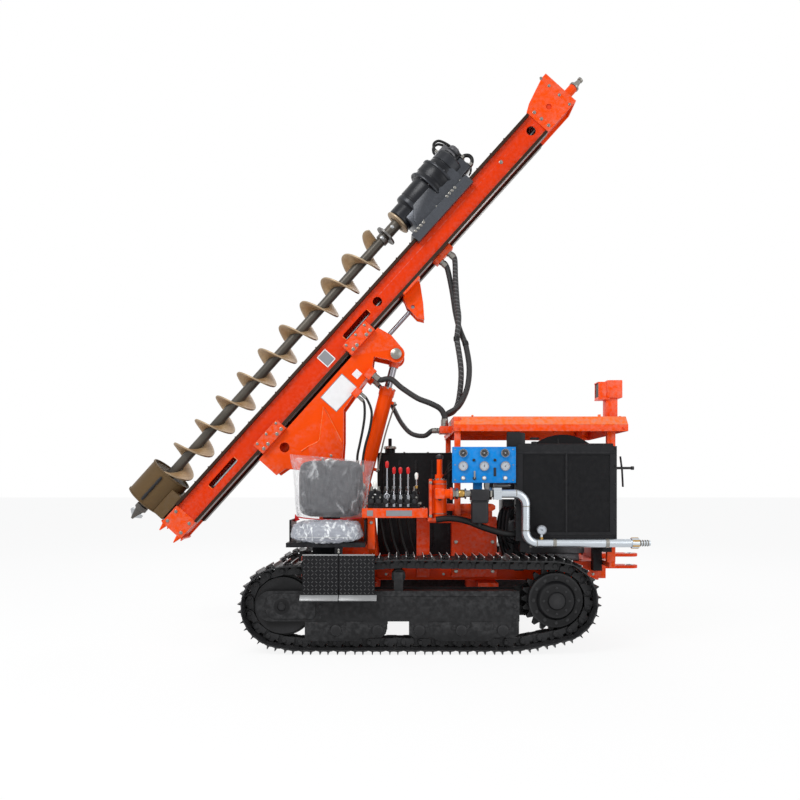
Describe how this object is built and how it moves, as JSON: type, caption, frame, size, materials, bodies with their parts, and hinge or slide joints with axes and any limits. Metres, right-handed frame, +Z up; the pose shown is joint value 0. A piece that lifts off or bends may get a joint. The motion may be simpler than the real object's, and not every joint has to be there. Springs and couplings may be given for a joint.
{
  "type": "crawler pile driver rig",
  "caption": "Compact crawler pile driver rig with a tilting, sliding mast, a rotary head that feeds along it and a spiral auger, parked with the mast leaning.",
  "frame": {"origin": "on the ground, under the middle of the whole machine's box", "axes": "+Z up, -X towards the mast's foot and the auger, +X towards the engine end and the tow clevis, -Y towards the operator's seat"},
  "size_m": [3.7441, 1.545, 4.0893],
  "materials": {
    "orange_paint": "gloss orange paint with light wear",
    "black_paint": "satin black paint",
    "track_iron": "dark painted iron, matt",
    "engine_metal": "dark satin metal",
    "blue_paint": "gloss blue paint",
    "rail_steel": "brown unpainted steel with a greased edge",
    "bright_steel": "bright steel",
    "chrome_rod": "hard chrome",
    "auger_tan": "tan to brown flight, worn at the edge",
    "khaki_paint": "dusty khaki paint",
    "pipe_grey": "galvanised grey",
    "black_plastic": "matt black plastic",
    "seat_cloth": "grey woven seat cloth",
    "clear_wrap": "clear plastic film",
    "hose_sleeve": "black woven hose sleeve"
  },
  "bodies": {
    "chassis": {"track_left": "track_iron", "track_right": "track_iron", "track_frames": "black_paint", "sprockets": "track_iron", "idlers": "track_iron", "rollers": "track_iron", "chassis_frame": "orange_paint", "pivot_stand": "orange_paint", "engine_block": "engine_metal", "cooler": "black_paint", "canopy": "orange_paint", "exhaust_stack": "orange_paint", "gauge_panel": "blue_paint", "console": "orange_paint", "valve_bank": "black_paint", "oiler": "orange_paint", "air_pipe": "pipe_grey", "air_filter": "black_plastic", "oil_tank": "black_plastic", "seat_cushion": "seat_cloth", "seat_back": "seat_cloth", "seat_frame": "black_paint", "seat_wrap": "clear_wrap", "foot_plates": "bright_steel", "tow_clevis": "orange_paint", "hose_a": "hose_sleeve", "hose_b": "hose_sleeve", "hose_c": "hose_sleeve", "hose_d": "hose_sleeve", "hose_e": "hose_sleeve", "hose_f": "hose_sleeve"},
    "saddle": {"saddle": "orange_paint", "slide_clamps": "orange_paint", "slide_barrel": "orange_paint"},
    "mast": {"mast_beam": "orange_paint", "mast_rails": "rail_steel", "mast_head": "orange_paint", "mast_foot": "orange_paint", "guide_casing": "khaki_paint", "slide_bracket": "orange_paint", "slide_rod": "chrome_rod", "feed_cylinder": "bright_steel"},
    "head": {"head_carriage": "black_paint", "rotary_head": "black_paint", "head_hoses": "hose_sleeve"},
    "auger": {"auger_shaft": "rail_steel", "auger_flight": "auger_tan"},
    "lift_barrel": {"lift_barrel": "orange_paint"},
    "lift_rod": {"lift_rod": "chrome_rod"}
  },
  "joints": [
    {"name": "mast_tilt", "type": "hinge", "parent": "chassis", "child": "saddle", "pos_m": [-0.387, 0, 1.238], "axis": [0, -1, 0], "range_deg": [-28, 42], "deforming": ["hose_a", "hose_b", "hose_c", "hose_d", "hose_e", "hose_f"]},
    {"name": "mast_slide", "type": "slide", "parent": "saddle", "child": "mast", "axis": [0.6691, 0, 0.7431], "range_m": [-0.11, 0.5]},
    {"name": "head_feed", "type": "slide", "parent": "mast", "child": "head", "axis": [0.6691, 0, 0.7431], "range_m": [-2.4, 0.45]},
    {"name": "auger_spin", "type": "hinge", "parent": "head", "child": "auger", "pos_m": [0.12851, 0, 3.06141], "axis": [0.6691, 0, 0.7431], "continuous": true},
    {"name": "lift_swing", "type": "hinge", "parent": "chassis", "child": "lift_barrel", "pos_m": [-0.165, 0, 1.075], "axis": [0, -1, 0], "range_deg": [-25.14, 37.46]},
    {"name": "lift_extend", "type": "slide", "parent": "lift_barrel", "child": "lift_rod", "axis": [0.2542, 0, 0.9671], "range_m": [-0.1164, 0.1735]}
  ],
  "couplings": [
    {"joint": "lift_swing", "follows": "mast_tilt", "ratio": 0.88},
    {"joint": "lift_extend", "follows": "mast_tilt", "m_per_rad": 0.234}
  ]
}
